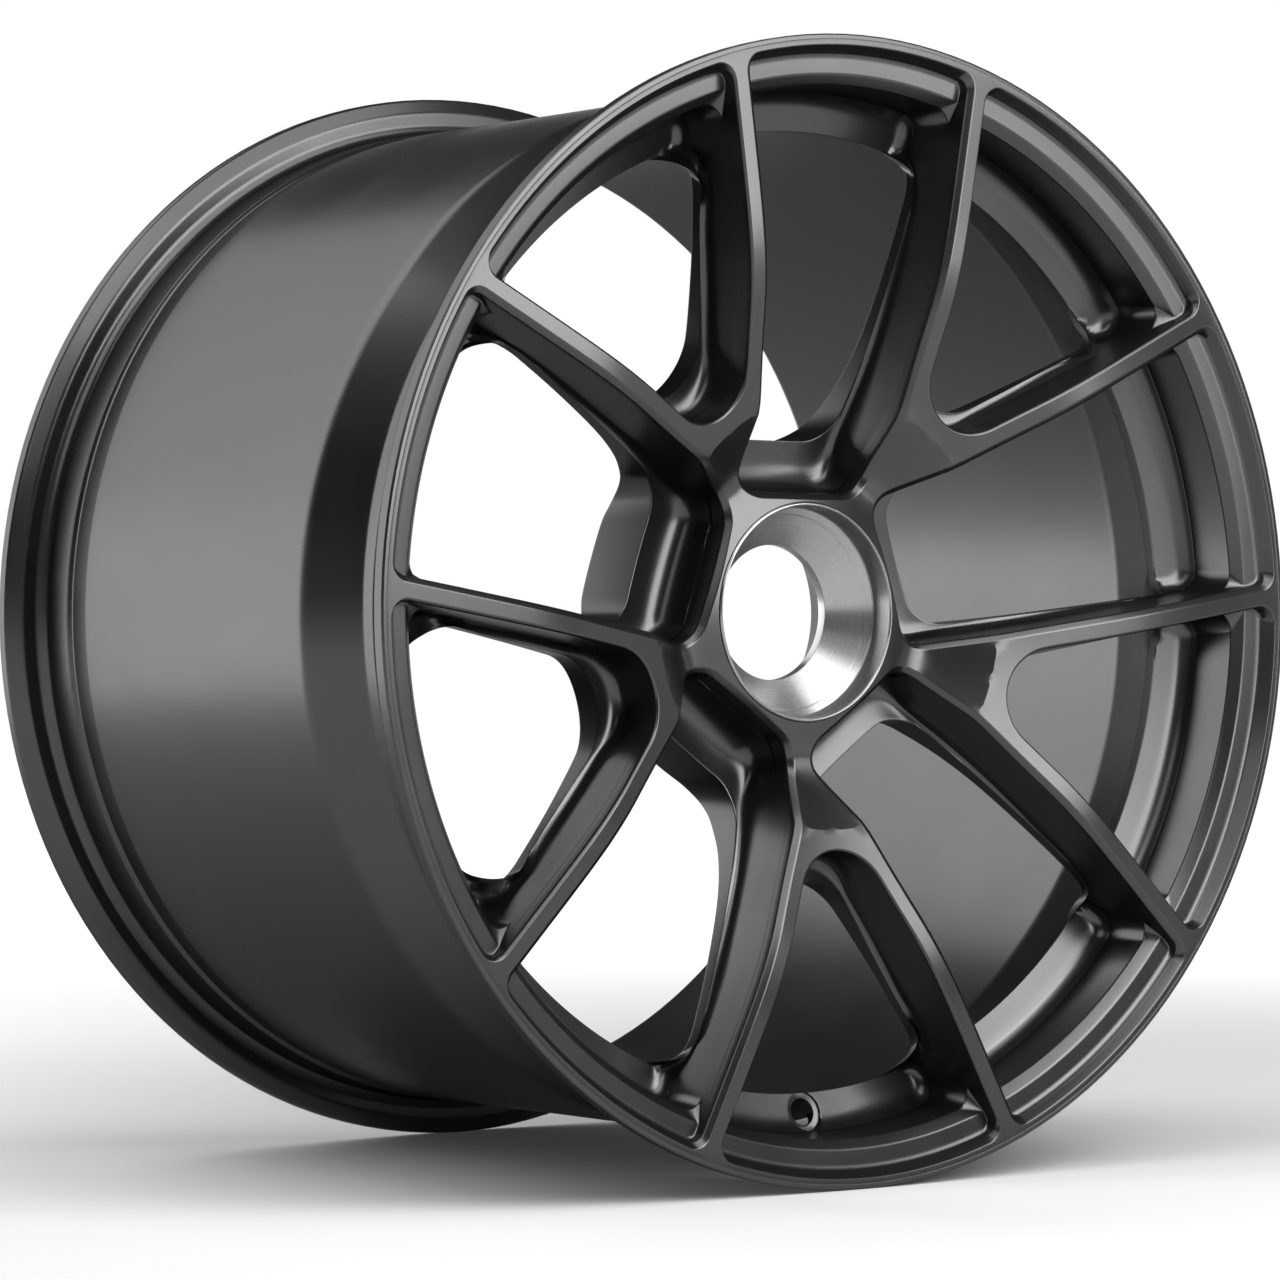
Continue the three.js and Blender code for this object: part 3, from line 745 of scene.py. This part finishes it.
def turnedMesh(name, profile, segments, centre=(0, 0)):
    # a closed profile of (radius, depth) turned about an axis along Y through centre
    data = bpy.data.meshes.new(name)
    points, faces = [], []
    count = len(profile)
    for k in range(segments):
        a = 2 * math.pi * k / segments
        for radius, depth in profile:
            points.append(((centre[0] + radius * math.sin(a)) * mm, (depth + lipPlane) * mm,
                           (centre[1] + radius * math.cos(a)) * mm))
    for k in range(segments):
        for i in range(count):
            j, m = (i + 1) % count, (k + 1) % segments
            faces.append((k * count + i, k * count + j, m * count + j, m * count + i))
    data.from_pydata(points, [], faces)
    work = bmesh.new()
    work.from_mesh(data)
    bmesh.ops.recalc_face_normals(work, faces=work.faces)
    work.to_mesh(data)
    work.free()
    return data


def closedProfile(corners):
    # rounds every corner of a closed outline
    return rounded([corners[-1], *corners, corners[0]])[1:-1]


seat = {
    "segments": 240,
    "profile": [
        (49.0, 40.4, 0.2), (49.4, 40.4, 0.2), (50.05, 41.1, 0.2), (50.05, 72.3, 0.3),
        (31.1, 72.3, 0.4), (31.1, 67.3, 0.35), (44.4, 56.2, 0.3), (45.3, 55.3, 0.2),
        (47.9, 53.2, 0.5), (48.35, 52.4, 0.4), (48.5, 41.2, 0.2),
    ],
}
seatName = "seat_ring_turned"
seatRing = link(seatName, turnedMesh(seatName, closedProfile(seat["profile"]), seat["segments"]))
seatRing.data.materials.append(seatMaterial())

bush = {
    "bore": 7.5, "radius": 9.5, "length": 22.0, "chamfer": 1.0, "segments": 64,
    "boreRound": 0.2, "heelRound": 0.8, "mouthRound": 0.3,
}
mouth, heel = hub["padDepth"], hub["padDepth"] - bush["length"]
bushProfile = closedProfile([
    (bush["bore"], heel, bush["boreRound"]), (bush["radius"], heel, bush["heelRound"]),
    (bush["radius"], mouth, bush["mouthRound"]),
    (bush["bore"] + bush["chamfer"], mouth, bush["boreRound"]),
    (bush["bore"], mouth - bush["chamfer"], bush["boreRound"]),
])
oneBush = turnedMesh("drive_bush", bushProfile, bush["segments"], (0, hub["pinCircle"]))
bushes = repeatRound("drive_bushes", oneBush, turnAbout, {
    "Count": forkCount, "First Angle": math.pi, "Weld": 0.0, "Material": bushMaterial(),
})
print("seat ring and bushes:", len(seatRing.data.polygons), "and", len(bushes.data.polygons), "faces")

valve = {
    "radius": 227.25, "depth": 43.8, "slope": math.radians(17.3), "reach": 14, "segments": 64,
    "hole": 6.1, "holeEdge": 0.5, "spot": 9.2, "spotDepth": 1.2, "spotFloorEdge": 0.3, "spotEdge": 0.35,
    "clear": 6,                   # the cutter stands this far out of the shelf
}
pocketCut = {"segments": 48, "clear": 5.0}


def holeCutter():
    # the bush pockets and the valve hole, as one cutter
    work = bmesh.new()

    def drill(profile, place, tilt, segments):
        # a closed plug of (radius, height) rings along Y, tilted and moved to its place
        loops = []
        for radius, y in profile:
            turns = [2 * math.pi * k / segments for k in range(segments)]
            loops.append([work.verts.new((radius * math.sin(a), y, radius * math.cos(a))) for a in turns])
        for a, b in zip(loops, loops[1:]):
            for k in range(segments):
                work.faces.new((a[k], a[(k + 1) % segments], b[(k + 1) % segments], b[k]))
        work.faces.new(loops[0][::-1])
        work.faces.new(loops[-1])
        new = [v for loop in loops for v in loop]
        bmesh.ops.rotate(work, verts=new, cent=(0, 0, 0), matrix=Matrix.Rotation(tilt, 3, "X"))
        bmesh.ops.translate(work, verts=new, vec=place)

    pocket = [(hub["pocketRadius"], -hub["pocketDepth"]), (hub["pocketRadius"], pocketCut["clear"])]
    for k in range(forkCount):
        a = math.pi + k * 2 * math.pi / forkCount
        place = (hub["pinCircle"] * math.sin(a), hub["padDepth"], hub["pinCircle"] * math.cos(a))
        drill(pocket, place, 0.0, pocketCut["segments"])
    v = valve
    drill([
        (v["spot"] + v["spotEdge"] * v["clear"], -v["spotDepth"] - v["clear"]),
        (v["spot"] + v["spotEdge"], -v["spotEdge"]), (v["spot"], 0.0),
        (v["spot"], v["spotDepth"] - v["spotFloorEdge"]),
        (v["spot"] - v["spotFloorEdge"], v["spotDepth"]),
        (v["hole"] + v["holeEdge"], v["spotDepth"]), (v["hole"], v["spotDepth"] + v["holeEdge"]),
        (v["hole"], v["reach"]),
    ], (0, v["depth"], -v["radius"]), -v["slope"], v["segments"])
    for vert in work.verts:
        vert.co = Vector((vert.co.x, vert.co.y + lipPlane, vert.co.z)) * mm
    bmesh.ops.recalc_face_normals(work, faces=work.faces)
    data = bpy.data.meshes.new("holes")
    work.to_mesh(data)
    work.free()
    data.materials.append(coat)
    return link("holes", data)


holes = holeCutter()
drillHoles = forging.modifiers.new("holes", "BOOLEAN")
drillHoles.operation, drillHoles.solver, drillHoles.object = "DIFFERENCE", "EXACT", holes
plainMesh(forging)
bpy.data.objects.remove(holes)
print("forging with its holes:", len(forging.data.vertices), "points,", len(forging.data.polygons), "faces")

smoothUpTo = {"forging": 50, "turned": 25}      # degrees between faces that shade as one surface


def shade(piece, degrees):
    for p in piece.data.polygons:
        p.use_smooth = True
    piece.data.set_sharp_from_angle(angle=math.radians(degrees))


def weighNormals(piece):
    # lets the broad faces decide the shading, so the narrow edges read as crisp rounds
    weigh = piece.modifiers.new("weigh", "WEIGHTED_NORMAL")
    weigh.keep_sharp = True
    plainMesh(piece)


shade(forging, smoothUpTo["forging"])
shade(seatRing, smoothUpTo["turned"])
shade(bushes, smoothUpTo["turned"])
weighNormals(forging)

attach(forging, body)
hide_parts(*coatNodes)
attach(seatRing, body)
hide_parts(seatNode)
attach(bushes, body)
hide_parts(*bushNodes)

ground = {
    "reach": 6.0, "colour": (0.55, 0.55, 0.55, 1),
    # it glows to plain white further out, so that only the shadow near the wheel shows
    "glowStart": 0.4, "glowEnd": 2.0, "glowNear": 0.03, "glowFar": 1.0,
}
w = ground["reach"]
floorData = bpy.data.meshes.new("floor")
corners = [(-w, -w, floorHeight), (w, -w, floorHeight), (w, w, floorHeight), (-w, w, floorHeight)]
floorData.from_pydata(corners, [], [(0, 1, 2, 3)])
floor = link("floor", floorData)


def largest(tree, *sources):
    best = sources[0]
    for source in sources[1:]:
        pick = node(tree, "ShaderNodeMath", operation="MAXIMUM")
        tree.links.new(best, pick.inputs[0])
        tree.links.new(source, pick.inputs[1])
        best = pick.outputs[0]
    return best


def product(tree, a, b):
    made = node(tree, "ShaderNodeMath", operation="MULTIPLY")
    tree.links.new(a, made.inputs[0])
    tree.links.new(b, made.inputs[1])
    return made.outputs[0]


def floorMaterial():
    made, tree, shader = newMaterial("floor")
    shader.inputs["Base Color"].default_value = ground["colour"]
    shader.inputs["Roughness"].default_value = 1.0
    shader.inputs["Specular IOR Level"].default_value = 0.0
    shader.inputs["Emission Color"].default_value = (1, 1, 1, 1)
    rays = node(tree, "ShaderNodeLightPath").outputs
    seen = largest(tree, rays["Is Camera Ray"], rays["Is Glossy Ray"], rays["Is Transmission Ray"])
    spot = node(tree, "ShaderNodeTexCoord")
    away = node(tree, "ShaderNodeVectorMath", operation="LENGTH")
    tree.links.new(spot.outputs["Object"], away.inputs[0])
    fade = ramp(tree, away.outputs["Value"], ground["glowNear"], ground["glowFar"],
                ground["glowStart"], ground["glowEnd"], "SMOOTHSTEP")
    tree.links.new(product(tree, seen, fade), shader.inputs["Emission Strength"])
    return made


floorData.materials.append(floorMaterial())
print("floor at", round(floorHeight, 4))

studio = {
    "fill": 0.12,                 # the even light from all round
    # what the coat mirrors: a white sweep behind the wheel, dim overhead and in front
    "dim": 0.15, "heightLow": 0.16, "heightHigh": 0.30,
    "behind": (0.595, 0.804, 0), "behindLow": -0.2, "behindHigh": 0.5,
}


def lightStudio():
    world = bpy.data.worlds.new("studio")
    bpy.context.scene.world = world
    world.use_nodes = True
    tree = world.node_tree
    wire = tree.links.new
    rays = node(tree, "ShaderNodeLightPath").outputs
    facing = node(tree, "ShaderNodeTexCoord").outputs["Generated"]
    parts = node(tree, "ShaderNodeSeparateXYZ")
    wire(facing, parts.inputs[0])
    band = ramp(tree, parts.outputs["Z"], 1.0, studio["dim"],
                studio["heightLow"], studio["heightHigh"], "SMOOTHSTEP")
    ahead = node(tree, "ShaderNodeVectorMath", operation="DOT_PRODUCT")
    ahead.inputs[1].default_value = studio["behind"]
    wire(facing, ahead.inputs[0])
    sweep = ramp(tree, ahead.outputs["Value"], studio["dim"], 1.0,
                 studio["behindLow"], studio["behindHigh"], "SMOOTHSTEP")
    mirrored = node(tree, "ShaderNodeMix", data_type="FLOAT")
    mirrored.inputs["A"].default_value = studio["fill"]
    wire(rays["Is Glossy Ray"], mirrored.inputs["Factor"])
    wire(product(tree, band, sweep), mirrored.inputs["B"])
    # seen directly, it is white all round
    level = node(tree, "ShaderNodeMix", data_type="FLOAT")
    level.inputs["B"].default_value = 1.0
    wire(largest(tree, rays["Is Camera Ray"], rays["Is Transmission Ray"]), level.inputs["Factor"])
    wire(mirrored.outputs["Result"], level.inputs["A"])
    back = tree.nodes["Background"]
    back.inputs["Color"].default_value = (1, 1, 1, 1)
    wire(level.outputs["Result"], back.inputs["Strength"])


lightStudio()

# azimuth from straight in front, positive to the right, and height, in degrees; distance and size in metres
lamps = {
    "key": {"azimuth": 14, "height": 25, "distance": 1.0, "size": (0.78, 0.84), "radiance": 6.8},
    "top": {"azimuth": -12, "height": 66, "distance": 1.5, "size": (1.5, 1.3), "radiance": 2.9},
    "leftBack": {"azimuth": -148, "height": 26, "distance": 1.15, "size": (1.15, 1.7), "radiance": 3.3},
    "leftFront": {"azimuth": -62, "height": 42, "distance": 1.5, "size": (0.8, 1.1), "radiance": 1.6},
}


def lamp(name, azimuth, height, distance, size, radiance):
    # a soft panel that faces the wheel
    a, e = math.radians(azimuth), math.radians(height)
    place = Vector((math.sin(a) * math.cos(e), -math.cos(a) * math.cos(e), math.sin(e))) * distance
    data = bpy.data.lights.new(name, "AREA")
    data.shape = "RECTANGLE"
    data.size, data.size_y = size
    data.energy = radiance * math.pi * size[0] * size[1]
    made = bpy.data.objects.new(name, data)
    bpy.context.scene.collection.objects.link(made)
    made.location = place
    made.rotation_euler = (-place).to_track_quat("-Z", "Y").to_euler()
    made.visible_camera = False


for name, values in lamps.items():
    lamp(name, **values)
print("lamps:", ", ".join(lamps))

# where the camera stands: turned left from straight in front, and its place in flange radii
view = {
    "turn": math.radians(36.492), "lift": math.radians(-0.514),
    "side": 0.3831, "distance": 8.3921, "unit": 0.2588,
    "centreDepth": 2.5, "lens": 136.12, "sensor": 36, "shift": -0.02234,
}
turnSin, turnCos = math.sin(view["turn"]), math.cos(view["turn"])
liftSin, liftCos = math.sin(view["lift"]), math.cos(view["lift"])
right = Vector((turnCos, -turnSin, 0))
down = Vector((-liftSin * turnSin, -liftSin * turnCos, -liftCos))
forward = Vector((liftCos * turnSin, liftCos * turnCos, -liftSin))
centre = Vector((0, (lipPlane + view["centreDepth"]) * mm, 0))
eye = centre - view["unit"] * (view["side"] * right + view["distance"] * forward)
cameraData = bpy.data.cameras.new("camera")
cameraData.lens, cameraData.sensor_width = view["lens"], view["sensor"]
cameraData.shift_y = view["shift"]
camera = bpy.data.objects.new("camera", cameraData)
bpy.context.scene.collection.objects.link(camera)
turn = Matrix((right, -down, -forward)).transposed().to_4x4()
camera.matrix_world = Matrix.Translation(eye) @ turn
bpy.context.scene.camera = camera
bpy.context.scene.view_settings.view_transform = "Standard"
